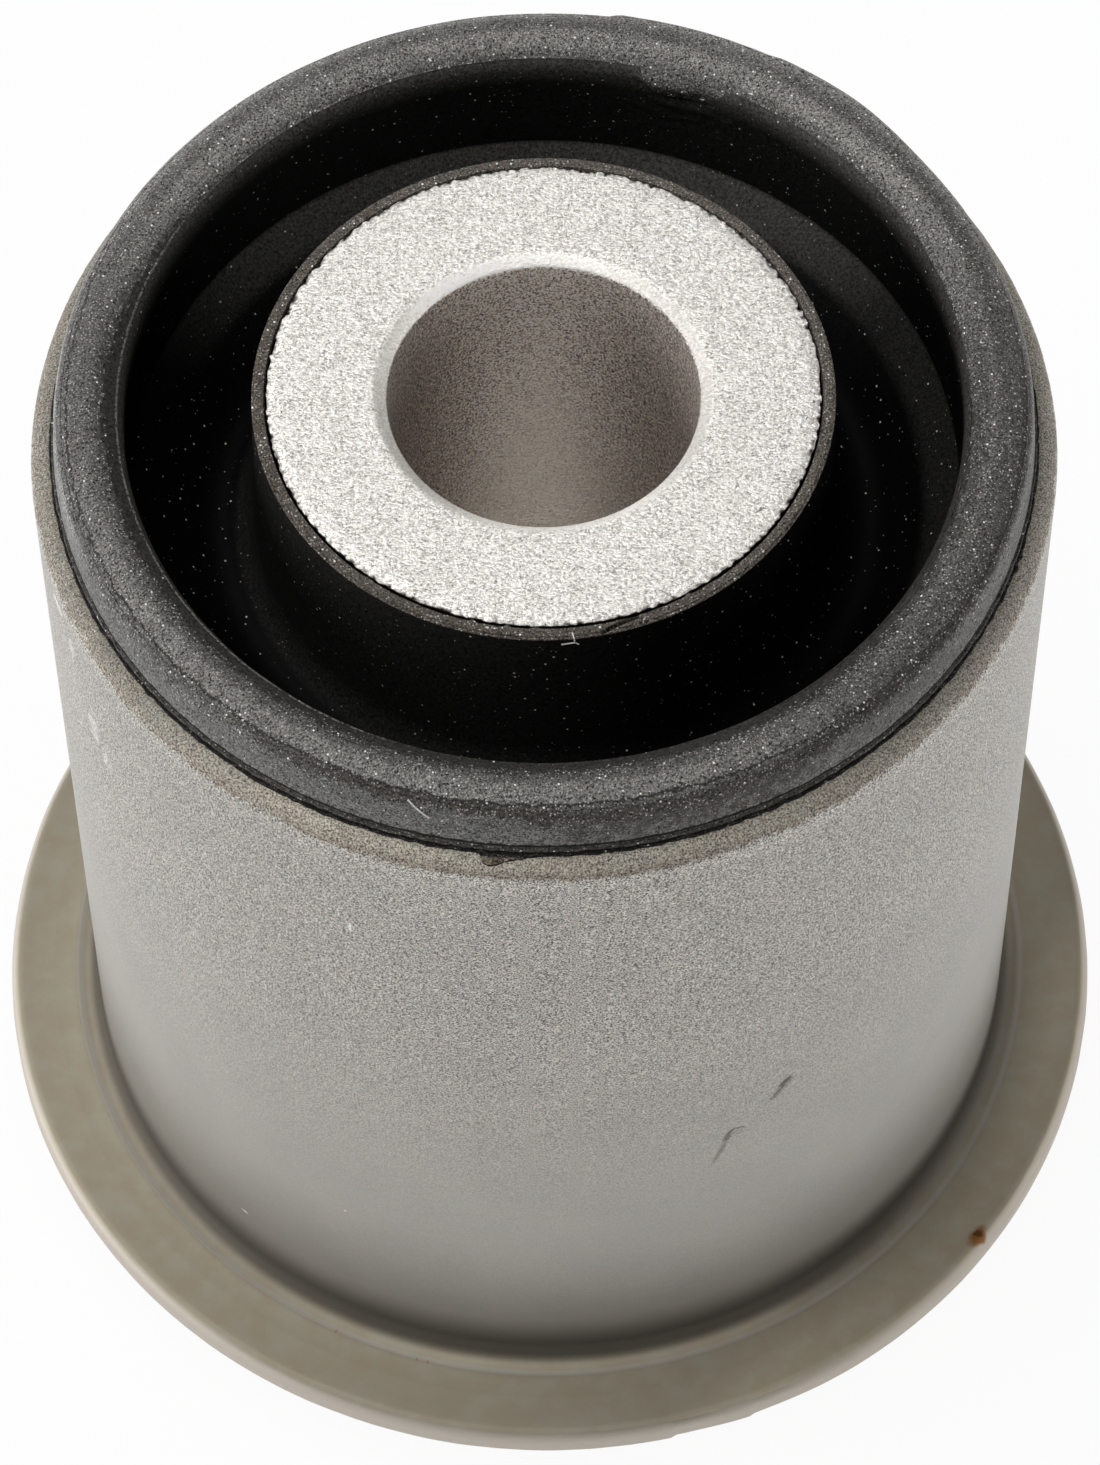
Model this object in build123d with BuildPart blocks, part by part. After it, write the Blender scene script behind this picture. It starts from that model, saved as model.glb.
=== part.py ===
from build123d import *

import os
from math import radians, sqrt, tan

# Bonded rubber-metal suspension bush with a flanged outer sleeve.
# Three pieces on one axis: a thin steel sleeve with a turned-out flange, which is pressed into an eye;
# a thick aluminium sleeve, which a bolt clamps; and the rubber spring moulded between them.
# Frame: +Z along the axis. Z = 0 is the inner sleeve's end face on the flange side.

os.makedirs("parts", exist_ok=True)

# Driving dimensions, mm

inner_length = 57.2  # inner sleeve, end face to end face
inner_diameter = 25.8
bore_diameter = 14.5  # clearance for an M14 bolt
countersink_width = 0.50  # broken edge of the bore, measured along the end face
countersink_depth = 0.35
edge_break_width = 0.45  # broken outer edge, measured along the end face
edge_break_depth = 0.12

inner_stand_out = 3.2  # inner sleeve beyond each end of the outer one
barrel_diameter = 48.0  # press-fit seat of the outer sleeve
flange_diameter = 57.7
sheet = 1.6  # wall of the outer sleeve, the same in barrel and flange
bend_radius = 1.2  # concave side of the flange bend
flange_edge_radius = 0.65  # upper edge of the rim
flange_burr_radius = 0.25  # lower edge of the rim
free_end_radius = 1.0
free_end_chamfer = 0.3  # inside the barrel's free end, filled with rubber

coat_thickness = 0.62  # rubber on the inner sleeve at its ends
coat_set_back = 0.30  # end of the coat below the end face of the inner sleeve
coat_draft = 0.40  # how much the coat has thickened at the foot of the groove
coat_edge_radius = 0.15
lip_wall = 2.7  # rubber left on the barrel's bore at the groove's mouth
lip_draft = 0.12  # how much that wall has thickened at the shoulder
shoulder_depth = 6.9  # from the end face down to the shoulder in the groove
groove_slope = 45.0  # degrees, from the shoulder down towards the inner sleeve
groove_floor_radius = 1.6
bead_set_in = 1.25  # bead's outer face inside the barrel's outside
bead_crown_set_in = 1.6  # top of the bead inside its own outer face
bead_crown_radius = 2.0
bead_shoulder_radius = 1.0
bead_clearance = 0.1  # top of the bead below the inner sleeve's end face
flash_thickness = 0.4
flash_width = 0.25  # flash beyond the bead on the free end
skirt_width = 3.3  # flash beyond the bead on the flange

# Worked out from the driving dimensions

inner_radius = inner_diameter / 2
bore_radius = bore_diameter / 2
barrel_radius = barrel_diameter / 2
barrel_bore_radius = barrel_radius - sheet
flange_radius = flange_diameter / 2
middle = inner_length / 2

flange_bottom = inner_stand_out
flange_top = flange_bottom + sheet
free_end = inner_length - inner_stand_out

bead_radius = barrel_radius - bead_set_in
bead_top_radius = bead_radius - bead_crown_set_in
bead_top = inner_length - bead_clearance
lip_radius = barrel_bore_radius - lip_wall
shoulder_radius = lip_radius - lip_draft
shoulder_z = inner_length - shoulder_depth
coat_radius = inner_radius + coat_thickness
coat_end_z = inner_length - coat_set_back
groove_foot_radius = coat_radius + coat_draft
groove_foot_z = shoulder_z - (shoulder_radius - groove_foot_radius) * tan(radians(groove_slope))


def crown_point(radius):
    """Return the point of the bead's crown at this distance from the axis."""
    drop = bead_crown_radius - sqrt(bead_crown_radius**2 - (radius - bead_top_radius) ** 2)
    return (radius, bead_top - drop)


def ring_edge(part, radius, height):
    """Return the circular edge of the part that has this radius at this height."""
    rings = part.edges().filter_by(GeomType.CIRCLE)
    level = rings.filter_by_position(Axis.Z, height - 0.01, height + 0.01)
    return level.sort_by(lambda ring: abs(ring.radius - radius))[0]


# Inner sleeve: half of its section from the middle up, turned and mirrored

with BuildPart() as inner_sleeve:
    with BuildSketch(Plane.XZ):
        with BuildLine():
            Polyline(
                (bore_radius, middle),
                (inner_radius, middle),
                (inner_radius, inner_length - edge_break_depth),
                (inner_radius - edge_break_width, inner_length),
                (bore_radius + countersink_width, inner_length),
                (bore_radius, inner_length - countersink_depth),
                close=True,
            )
        make_face()
    revolve(axis=Axis.Z)
    mirror(about=Plane.XY.offset(middle))

# Outer sleeve: barrel and flange turned with square corners, then bent and rounded

with BuildPart() as outer_sleeve:
    with BuildSketch(Plane.XZ):
        with BuildLine():
            Polyline(
                (barrel_bore_radius, flange_bottom),
                (flange_radius, flange_bottom),
                (flange_radius, flange_top),
                (barrel_radius, flange_top),
                (barrel_radius, free_end),
                (barrel_bore_radius, free_end),
                close=True,
            )
        make_face()
    revolve(axis=Axis.Z)
    fillet(ring_edge(outer_sleeve, barrel_radius, flange_top), bend_radius)
    fillet(ring_edge(outer_sleeve, barrel_bore_radius, flange_bottom), bend_radius + sheet)
    fillet(ring_edge(outer_sleeve, flange_radius, flange_top), flange_edge_radius)
    fillet(ring_edge(outer_sleeve, flange_radius, flange_bottom), flange_burr_radius)
    fillet(ring_edge(outer_sleeve, barrel_radius, free_end), free_end_radius)
    chamfer(ring_edge(outer_sleeve, barrel_bore_radius, free_end), free_end_chamfer)

# Rubber: half of the mould's section from the middle up, turned and mirrored, with the flash at both ends.
# The section runs on into the outer sleeve's wall, and the sleeve then cuts it to its own shape.

with BuildPart() as rubber_ring:
    with BuildSketch(Plane.XZ):
        with BuildLine():
            crown = ThreePointArc(crown_point(lip_radius), (bead_top_radius, bead_top), crown_point(bead_radius))
            Polyline(
                crown @ 1,
                (bead_radius, middle),
                (inner_radius, middle),
                (inner_radius, coat_end_z),
                (coat_radius, coat_end_z),
                (groove_foot_radius, groove_foot_z),
                (shoulder_radius, shoulder_z),
                crown @ 0,
            )
        make_face()
        fillet(vertices().sort_by_distance((groove_foot_radius, groove_foot_z))[0], groove_floor_radius)
        fillet(vertices().sort_by_distance((coat_radius, coat_end_z))[0], coat_edge_radius)
        fillet(vertices().sort_by_distance(crown_point(bead_radius))[0], bead_shoulder_radius)
    revolve(axis=Axis.Z)
    mirror(about=Plane.XY.offset(middle))
    with BuildSketch(Plane.XZ):
        with Locations((bead_top_radius, free_end)):
            Rectangle(
                bead_crown_set_in + flash_width,
                flash_thickness,
                align=(Align.MIN, Align.MIN),
            )
        with Locations((bead_top_radius, flange_bottom - flash_thickness)):
            Rectangle(
                bead_crown_set_in + skirt_width,
                flash_thickness + sheet,
                align=(Align.MIN, Align.MIN),
            )
    revolve(axis=Axis.Z)
    add(outer_sleeve.part, mode=Mode.SUBTRACT)

inner_sleeve.part.label = "inner_sleeve"
outer_sleeve.part.label = "outer_sleeve"
rubber_ring.part.label = "rubber_ring"

export_step(inner_sleeve.part, "parts/inner_sleeve.step")
export_step(outer_sleeve.part, "parts/outer_sleeve.step")
export_step(rubber_ring.part, "parts/rubber_ring.step")
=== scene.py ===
import math

import bpy
import numpy as np
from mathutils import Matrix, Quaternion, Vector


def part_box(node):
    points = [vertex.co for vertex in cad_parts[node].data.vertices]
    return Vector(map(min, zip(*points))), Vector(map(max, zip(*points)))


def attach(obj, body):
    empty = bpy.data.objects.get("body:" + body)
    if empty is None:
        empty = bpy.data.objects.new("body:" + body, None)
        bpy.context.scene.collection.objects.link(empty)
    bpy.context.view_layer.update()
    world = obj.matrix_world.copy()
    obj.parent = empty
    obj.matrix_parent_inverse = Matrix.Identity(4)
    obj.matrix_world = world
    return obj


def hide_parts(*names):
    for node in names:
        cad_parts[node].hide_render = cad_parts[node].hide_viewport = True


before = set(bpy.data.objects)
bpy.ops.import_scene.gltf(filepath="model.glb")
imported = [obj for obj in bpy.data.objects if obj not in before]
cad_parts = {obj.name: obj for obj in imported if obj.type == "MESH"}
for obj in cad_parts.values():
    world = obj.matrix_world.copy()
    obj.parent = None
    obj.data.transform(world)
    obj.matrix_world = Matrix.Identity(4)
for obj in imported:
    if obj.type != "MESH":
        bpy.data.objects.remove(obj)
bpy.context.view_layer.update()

bl_info = {
    "name": "Rubber metal bush",
    "version": (1, 0, 0),
    "blender": (4, 5, 0),
    "location": "View3D > Sidebar > Bush",
    "description": "Bonded rubber bush with a flanged steel sleeve, an aluminium inner sleeve and its studio",
    "category": "Add Mesh",
}

MM = 0.001
OUTER_LOW, OUTER_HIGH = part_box("outer_sleeve")
INNER_LOW, INNER_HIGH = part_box("inner_sleeve")
BUSH_MIDDLE = (INNER_LOW + INNER_HIGH) / 2
END_FACE = INNER_HIGH.z / MM
SAME_POINT = 1e-7
SMOOTH_BELOW = math.radians(35.0)


# Sizes and colours that a user may change


def length(name, description, millimetres):
    """A length setting, in metres, from its default in millimetres."""
    return bpy.props.FloatProperty(
        name=name, description=description, default=millimetres * MM, min=0.0, precision=5, subtype="DISTANCE"
    )


def colour(name, description, value):
    """A colour setting."""
    return bpy.props.FloatVectorProperty(
        name=name, description=description, default=value, size=3, min=0.0, max=1.0, subtype="COLOR"
    )


def share(name, description, value):
    """A setting between nought and one."""
    return bpy.props.FloatProperty(
        name=name, description=description, default=value, min=0.0, max=1.0, subtype="FACTOR"
    )


def level(name, description, value):
    """A lamp's brightness, where one is white."""
    return bpy.props.FloatProperty(name=name, description=description, default=value, min=0.0)


def degrees(name, description, value):
    """An angle setting, in radians, from its default in degrees."""
    return bpy.props.FloatProperty(
        name=name, description=description, default=math.radians(value), subtype="ANGLE"
    )


class OuterSleeveSettings(bpy.types.PropertyGroup):
    barrel_radius: length("Barrel radius", "Outside of the press-fit barrel", 24.0)
    flange_radius: length("Flange radius", "Outside of the flange", min(OUTER_HIGH.x, OUTER_HIGH.y) / MM)
    sheet: length("Sheet", "Wall of the barrel and the flange", 1.6)
    bend_radius: length("Bend radius", "Concave side of the bend into the flange", 1.2)
    rim_radius: length("Rim radius", "Upper edge of the flange", 0.75)
    burr_radius: length("Burr radius", "Lower edge of the flange", 0.25)
    free_end_radius: length("Free end radius", "Rounding of the barrel's free end", 1.0)
    free_end_chamfer: length("Free end chamfer", "Chamfer inside the free end", 0.3)
    steel: colour("Phosphated steel", "Grey of the barrel", (0.405, 0.389, 0.356))
    tan: colour("Tan steel", "Olive tan of the flange and the rounded end", (0.305, 0.279, 0.216))
    brown: colour("Brown steel", "Line where the tan of the rounded end stops", (0.310, 0.245, 0.200))
    # The bare rim colour is a painted highlight along the flange's edge
    rim: colour("Bare rim", "Paler steel on the flange's rim", (0.540, 0.490, 0.430))
    # The grime colour is painted shade in the flange's root, at the barrel's foot and in the bend, a painted
    # shadow in the corner at the right, and dirt with painted shade in the gouges
    grime_and_shade: colour("Grime", "Dark dirt in the root of the flange and in the gouges", (0.050, 0.043, 0.034))
    rust: colour("Rust", "Rust spot on the flange", (0.230, 0.080, 0.002))


class RubberSettings(bpy.types.PropertyGroup):
    coat: length("Coat", "Rubber on the inner sleeve at its ends", 0.62)
    set_back: length("Coat set back", "End of the coat below the inner sleeve's end face", 0.10)
    draft: length("Coat draft", "How much the coat has thickened at the foot of the groove", 0.40)
    lip_wall: length("Lip wall", "Rubber on the barrel's bore at the groove's mouth", 2.7)
    lip_draft: length("Lip draft", "How much that wall has thickened at the shoulder", 0.12)
    shoulder_depth: length("Shoulder depth", "From the end face down to the shoulder in the groove", 6.9)
    floor_radius: length("Groove floor radius", "Rounding at the foot of the groove", 1.6)
    bead_set_in: length("Bead set in", "Bead's outer face inside the barrel's outside", 1.25)
    crown_set_in: length("Crown set in", "Top of the bead inside its own outer face", 1.6)
    crown_radius: length("Crown radius", "Dome of the bead", 2.0)
    bead_shoulder: length("Bead shoulder", "Rounding between the dome and the bead's outer face", 1.0)
    clearance: length("Bead clearance", "Top of the bead below the inner sleeve's end face", 0.1)
    flash: length("Flash", "Thickness of the flash", 0.4)
    flash_width: length("Flash width", "Flash beyond the bead on the free end", 0.25)
    skirt_width: length("Skirt width", "Flash beyond the bead on the flange", 3.3)
    lip_rounding: length("Lip rounding", "Rounding under the ridge round the groove's mouth", 0.9)
    ridge: length("Mouth ridge", "Height of the fine ridge round the groove's mouth", 0.045)
    parting: length("Parting line", "Depth of the line left by the mould outside the crown", 0.04)
    bead_draft: length("Bead draft", "How much the bead's outer face leans out to its foot", 0.12)
    coat_gap: length("Coat gap", "Gap between the coat's end and the inner sleeve", 0.07)
    coat_step: length("Coat step", "Low step round the outside of the coat's end", 0.13)
    fibre: length("Fibre", "Thickness of the lint", 0.085)
    rubber: colour("Rubber", "Moulded black rubber in the groove", (0.002, 0.002, 0.002))
    bloom: colour("Bloom", "Dull bloom on the bead", (0.098, 0.095, 0.089))
    shade: colour("Shaded rubber", "Browner rubber on the flash and the coat's end", (0.036, 0.029, 0.022))
    dust: colour("Dust", "Powder on the rubber", (0.62, 0.60, 0.56))


class InnerSleeveSettings(bpy.types.PropertyGroup):
    bore_radius: length("Bore radius", "Clearance for the bolt", 7.25)
    countersink_width: length("Countersink width", "Broken edge of the bore along the end face", 0.58)
    countersink_depth: length("Countersink depth", "Broken edge of the bore down the bore", 0.40)
    edge_width: length("Edge width", "Broken outer edge along the end face", 0.10)
    edge_depth: length("Edge depth", "Broken outer edge down the side", 0.06)
    turning_ridge: length("Turning ridge", "Faint step that the lathe left on the end face", 12.12)
    aluminium: colour("Aluminium", "Blasted end faces", (0.940, 0.908, 0.850))
    # The crevice colour is painted shade in the fine creases of the blasted surface
    crevice_shade: colour("Crevice", "Fine dark creases in the blasted surface", (0.150, 0.135, 0.110))
    bore: colour("Bore", "Wall of the bolt bore", (0.76, 0.69, 0.62))


class StageSettings(bpy.types.PropertyGroup):
    camera_place: bpy.props.FloatVectorProperty(
        name="Camera place",
        description="Where the camera stands",
        default=(0.0, -0.16073, 0.29017),
        size=3,
        precision=5,
        subtype="TRANSLATION",
    )
    camera_pitch: degrees("Camera pitch", "Camera's turn up from straight down", 31.40)
    camera_roll: degrees("Camera roll", "Camera's turn about its own line of sight", -0.57)
    camera_yaw: degrees("Camera yaw", "Camera's turn to the side", -0.05)
    focal_length: bpy.props.FloatProperty(
        name="Focal length", description="Lens, in millimetres on a 36 mm sensor", default=150.24, min=1.0
    )
    front_level: level("Front level", "Brightness of the softbox high in front", 1.5)
    overhead_level: level("Overhead level", "Brightness of the softbox straight overhead", 2.1)
    rear_level: level("Rear level", "Brightness of the softbox high at the back", 1.9)
    key_level: level("Key level", "Brightness of the softbox high on the left", 1.2)
    left_level: level("Left level", "Brightness of the low softbox on the left", 4.3)
    right_level: level("Right level", "Brightness of the low softbox on the right", 3.2)
    back_level: level("Back level", "Brightness of the low softbox at the back", 0.8)
    room_light: share("Room light", "Level at which the white room lights the bush", 0.6)
    floor: colour("Floor", "Pale floor", (0.80, 0.80, 0.80))


# Sections, the shapes turned from them, and the ways to change those shapes


def deselect_all():
    """Nothing is selected, in object mode."""
    if bpy.context.object is not None and bpy.context.object.mode != "OBJECT":
        bpy.ops.object.mode_set(mode="OBJECT")
    bpy.ops.object.select_all(action="DESELECT")


def make_current(piece):
    """Only this piece is selected, and it is the one that operators work on."""
    deselect_all()
    piece.select_set(True)
    bpy.context.view_layer.objects.active = piece


def select_faces(piece, chosen):
    """Goes into edit mode with just these faces selected; chosen is a yes or no for each face."""
    make_current(piece)
    bpy.ops.object.mode_set(mode="EDIT")
    bpy.ops.mesh.select_mode(type="FACE")
    bpy.ops.mesh.select_all(action="DESELECT")
    bpy.ops.object.mode_set(mode="OBJECT")
    piece.data.polygons.foreach_set("select", np.asarray(chosen, bool))
    bpy.ops.object.mode_set(mode="EDIT")


def places(piece, kind="vertices"):
    """Distance to the axis, angle and height of each point or face, in millimetres and degrees."""
    items = getattr(piece.data, kind)
    numbers = np.empty(len(items) * 3, np.float32)
    items.foreach_get("co" if kind == "vertices" else "center", numbers)
    x, y, height = numbers.astype(float).reshape(-1, 3).T / MM
    return np.hypot(x, y), np.degrees(np.arctan2(y, x)), height


def ramp(values, start, end):
    """Nought up to start and one from end on, with a soft step between."""
    share = np.clip((values - start) / (end - start), 0.0, 1.0)
    return share * share * (3.0 - 2.0 * share)


def within(values, low, high):
    """Yes for each value between two ends."""
    return (values > low) & (values < high)


def hump(values, middle, reach):
    """One at the middle, falling softly to nought at this reach on both sides."""
    return ramp(np.abs(values - middle), reach, 0.0)


def span(values, low, high, soft=0.1):
    """One from low to high, with soft ends outside them."""
    return ramp(values, low - soft, low) * ramp(values, high + soft, high)


def stroke(along, across, path):
    """Depth of a mark at each point; the path has places in millimetres, half widths and depths."""
    depth = np.zeros_like(along)
    for (a0, b0, w0, d0), (a1, b1, w1, d1) in zip(path, path[1:]):
        a, b = a1 - a0, b1 - b0
        share = np.clip(((along - a0) * a + (across - b0) * b) / (a**2 + b**2), 0, 1)
        gap = np.hypot(along - a0 - share * a, across - b0 - share * b)
        depth = np.maximum(depth, (d0 + share * (d1 - d0)) * ramp(gap, w0 + share * (w1 - w0), 0.0))
    return depth


def refine(piece, chosen, cuts):
    """Cuts some of the faces into smaller ones."""
    select_faces(piece, chosen)
    bpy.ops.mesh.subdivide(number_cuts=cuts)
    bpy.ops.object.mode_set(mode="OBJECT")


def push(piece, shares, distance, direction="NORMAL", lumps=None, middle=0.5):
    """Moves each point by its share of a distance in millimetres, evenly or by lumps of a size."""
    make_current(piece)
    group = piece.vertex_groups.new(name="push")
    for index in np.flatnonzero(shares > 1e-3):
        group.add([int(index)], float(shares[index]), "REPLACE")
    move = piece.modifiers.new("push", "DISPLACE")
    move.vertex_group, move.direction = group.name, direction
    move.strength, move.mid_level = distance * MM, 0.0
    if lumps is not None:
        move.texture = bpy.data.textures.new("lumps", "CLOUDS")
        move.texture.noise_scale, move.texture.noise_depth = lumps * MM, 2
        move.texture_coords, move.mid_level = "LOCAL", middle
    bpy.ops.object.modifier_apply(modifier=move.name)
    piece.vertex_groups.clear()


def arc(centre, radius, start, end, steps):
    """Points of a round part of a section, both ends included; angles in degrees from straight out."""
    turns = np.radians(np.linspace(start, end, steps + 1))
    return [(centre[0] + radius * math.cos(t), centre[1] + radius * math.sin(t)) for t in turns]


def straight(start, end, pieces):
    """Points of a straight part of a section, without its two ends."""
    return [tuple(a + (b - a) * i / pieces for a, b in zip(start, end)) for i in range(1, pieces)]


def rounded(before, corner, after, radius, steps):
    """Points that round off a corner of a section."""
    inward, outward = np.subtract(before, corner), np.subtract(after, corner)
    inward, outward = inward / np.linalg.norm(inward), outward / np.linalg.norm(outward)
    half = math.acos(float(inward @ outward)) / 2
    middle = (inward + outward) / np.linalg.norm(inward + outward)
    centre = np.array(corner) + middle * radius / math.sin(half)
    first = np.array(corner) + inward * radius / math.tan(half) - centre
    last = np.array(corner) + outward * radius / math.tan(half) - centre
    start = math.degrees(math.atan2(first[1], first[0]))
    sweep = (math.degrees(math.atan2(last[1], last[0])) - start + 180) % 360 - 180
    return arc(centre, radius, start, start + sweep, steps)


def turned(name, section, steps):
    """A closed section in the X-Z plane, drawn point by point and spun once round the Z axis."""
    deselect_all()
    bpy.ops.mesh.primitive_plane_add(size=MM, location=(0.0, 0.0, 0.0))
    piece = bpy.context.object
    piece.name = piece.data.name = name
    bpy.ops.object.mode_set(mode="EDIT")
    bpy.ops.mesh.select_mode(type="VERT")
    bpy.ops.mesh.select_all(action="SELECT")
    bpy.ops.mesh.merge(type="CENTER")
    bpy.ops.transform.translate(value=(section[0][0], 0.0, section[0][1]))
    for before, after in zip(section, section[1:] + section[:1]):
        step = (after[0] - before[0], 0.0, after[1] - before[1])
        bpy.ops.mesh.extrude_vertices_move(TRANSFORM_OT_translate={"value": step})
    bpy.ops.mesh.select_all(action="SELECT")
    bpy.ops.mesh.remove_doubles(threshold=SAME_POINT)
    bpy.ops.object.mode_set(mode="OBJECT")
    turn = piece.modifiers.new("turn", "SCREW")
    turn.axis, turn.angle, turn.screw_offset = "Z", math.tau, 0.0
    turn.steps = turn.render_steps = steps
    turn.use_merge_vertices, turn.merge_threshold = True, SAME_POINT
    bpy.ops.object.modifier_apply(modifier=turn.name)
    bpy.ops.object.mode_set(mode="EDIT")
    bpy.ops.mesh.select_all(action="SELECT")
    bpy.ops.mesh.remove_doubles(threshold=SAME_POINT)
    bpy.ops.mesh.normals_make_consistent(inside=False)
    bpy.ops.object.mode_set(mode="OBJECT")
    return piece


def thread(name, points, radius):
    """A short fine thread through a few points."""
    deselect_all()
    bpy.ops.curve.primitive_nurbs_path_add(location=(0.0, 0.0, 0.0))
    piece = bpy.context.object
    piece.name = piece.data.name = name
    spline = piece.data.splines[0]
    for point, place in zip(spline.points, points):
        point.co = (*place, 1.0)
    piece.data.bevel_depth, piece.data.bevel_resolution, piece.data.use_fill_caps = radius, 1, True
    piece.data.resolution_u = 3
    bpy.ops.object.convert(target="MESH")
    return bpy.context.object


def hand_in(piece, slot, *nodes):
    """Smooths the finished piece, which rides on the bush and may stand for a node."""
    make_current(piece)
    bpy.ops.object.shade_smooth_by_angle(angle=SMOOTH_BELOW)
    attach(piece, "root")
    if nodes:
        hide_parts(*nodes)


# Finishes


def feed(tree, socket, value):
    """Links a value to a socket, or sets it to a number or a colour; one number for a colour is a grey."""
    value = getattr(value, "socket", value)
    if isinstance(value, bpy.types.NodeSocket):
        tree.links.new(value, socket)
    elif socket.type == "RGBA":
        socket.default_value = (value, value, value, 1.0) if isinstance(value, float) else (*value, 1.0)
    else:
        socket.default_value = value


def add(tree, kind, inputs=None, **settings):
    """A node's outputs, from its settings and what it takes in."""
    node = tree.nodes.new(kind)
    for key, value in settings.items():
        setattr(node, key, value)
    for key, value in (inputs or {}).items():
        feed(tree, node.inputs[key], value)
    return node.outputs


def empty_tree(owner):
    """The node tree of a material or a world, with nothing in it."""
    owner.use_nodes = True
    owner.node_tree.nodes.clear()
    return owner.node_tree


def tint(colour, *factors):
    """A colour times one factor, or times one for each of red, green and blue."""
    return tuple(part * factor for part, factor in zip(colour, factors if len(factors) == 3 else factors * 3))


class Value:
    """What a node puts out, in plain arithmetic; a | b is the larger of the two."""

    def __init__(self, finish, socket):
        self.finish, self.socket = finish, socket

    def __mul__(self, other):
        return self.finish.sum("MULTIPLY", self, other)

    def __add__(self, other):
        return self.finish.sum("ADD", self, other)

    def __sub__(self, other):
        return self.finish.sum("SUBTRACT", self, other)

    def __rsub__(self, other):
        return self.finish.sum("SUBTRACT", other, self)

    def __or__(self, other):
        return self.finish.sum("MAXIMUM", self, other)

    def __abs__(self):
        return self.finish.sum("ABSOLUTE", self)


class Finish:
    """One material, built node by node on the piece's own coordinates, with sizes in millimetres."""

    def __init__(self, name):
        self.material = bpy.data.materials.new(name)
        self.tree = empty_tree(self.material)
        self.base = 1.0
        self.place = self.value("Object", "ShaderNodeTexCoord")
        self.x, self.height = (self.value(way, "ShaderNodeSeparateXYZ", {0: self.place}) for way in "XZ")
        self.radius = self.size_of(self.vector("MULTIPLY", self.place, (1.0, 1.0, 0.0)))

    def value(self, output, kind, inputs=None, **settings):
        """One output of a new node."""
        return Value(self, add(self.tree, kind, inputs, **settings)[output])

    def sum(self, operation, first, second=0.0):
        """One step of arithmetic."""
        return self.value("Value", "ShaderNodeMath", {0: first, 1: second}, operation=operation)

    def vector(self, operation, first, second, output="Vector"):
        """One step of arithmetic on points."""
        return self.value(output, "ShaderNodeVectorMath", {0: first, 1: second}, operation=operation)

    def size_of(self, point):
        """A point's distance to the middle."""
        return self.value("Value", "ShaderNodeVectorMath", {0: point}, operation="LENGTH")

    def between(self, value, low, high, start=0.0, end=1.0, soft=True):
        """Takes a value from one range to another, and holds it there outside."""
        kind = "SMOOTHSTEP" if soft else "LINEAR"
        inputs = {"Value": value, "From Min": low, "From Max": high, "To Min": start, "To Max": end}
        return self.value("Result", "ShaderNodeMapRange", inputs, interpolation_type=kind)

    def mix(self, value, start, end):
        """One number where the value is nought, and another where it is one."""
        return self.between(value, 0.0, 1.0, start, end, False)

    def swing(self, noise, low, high):
        """A noise, taken evenly from the range where most of it lies to another."""
        return self.between(noise, 0.3, 0.7, low, high, False)

    def along(self, place, low, high, *ends):
        """The same as between for a coordinate, with its own range in millimetres."""
        return self.between(place, low * MM, high * MM, *ends)

    def outward(self, low, high, *ends):
        """Takes the distance to the axis from one range to another."""
        return self.along(self.radius, low, high, *ends)

    def upward(self, low, high, *ends):
        """Takes the height from one range to another."""
        return self.along(self.height, low, high, *ends)

    def towards(self, angle, low, high):
        """Nought up to low and one from high on, from the axis towards an angle."""
        way = (math.cos(math.radians(angle)), math.sin(math.radians(angle)), 0.0)
        return self.along(self.vector("DOT_PRODUCT", self.place, way, "Value"), low, high)

    def band(self, place, low, high, soft):
        """One between two places, with soft ends outside them."""
        return self.along(place, low - soft, low) * self.along(place, high + soft, high)

    def noise(self, size, detail=2.0, roughness=0.5, stretch=None):
        """Noise whose grains are about this large; a stretch packs them closer along each axis."""
        place = self.place
        if stretch is not None:
            place = self.value("Vector", "ShaderNodeMapping", {"Vector": place, "Scale": stretch})
        inputs = {"Vector": place, "Scale": 1.0 / (size * MM), "Detail": detail, "Roughness": roughness}
        return self.value("Fac", "ShaderNodeTexNoise", inputs)

    def cells(self, size, reach):
        """Small round specks, one in each cell of this size, and the cells' own tones."""
        cells = add(self.tree, "ShaderNodeTexVoronoi", {"Vector": self.place, "Scale": 1.0 / (size * MM)})
        return self.between(cells["Distance"], reach, reach * 0.45), cells["Color"]

    def specks(self, size, reach, chance):
        """Specks in this share of the cells."""
        spots, tone = self.cells(size, reach)
        return spots * self.sum("LESS_THAN", tone, chance)

    def powder(self, size, reach, least, most, strength):
        """Specks that show in the cells above the least tone, and in full from the most on."""
        spots, tone = self.cells(size, reach)
        return spots * self.between(tone, least, most, 0.0, strength, False)

    def patch(self, spot, sizes, turn=(0.0, 0.0, 0.0), ragged=None, amount=0.45):
        """One at a spot on a ring and nought beyond an ellipsoid round it, whose rim a noise makes ragged.

        The ellipsoid faces the axis before its own turn.
        """
        inputs = {
            "Vector": self.place,
            "Location": on_ring(*spot),
            "Rotation": tuple(math.radians(angle) for angle in (turn[0], turn[1], spot[1] + turn[2])),
            "Scale": tuple(size * MM for size in sizes),
        }
        gap = self.size_of(self.value("Vector", "ShaderNodeMapping", inputs, vector_type="TEXTURE"))
        if ragged is not None:
            gap = gap + self.swing(ragged, -amount, amount)
        return self.between(gap, 1.0, 0.45)

    def blend(self, factor, first, second, kind="MIX"):
        """Two colours mixed by a factor."""
        inputs = {0: factor, 6: first, 7: second}
        return self.value(2, "ShaderNodeMix", inputs, data_type="RGBA", blend_type=kind)

    def grey(self, value):
        """A value as a grey."""
        return self.value("Color", "ShaderNodeCombineColor", {"Red": value, "Green": value, "Blue": value})

    def times(self, colour, value):
        """A colour made lighter or darker by a value."""
        return self.blend(1.0, colour, self.grey(value), "MULTIPLY")

    def paint(self, colour, amount):
        """Lays a colour over the base colour by this amount."""
        self.base = self.blend(amount, self.base, colour)

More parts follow.
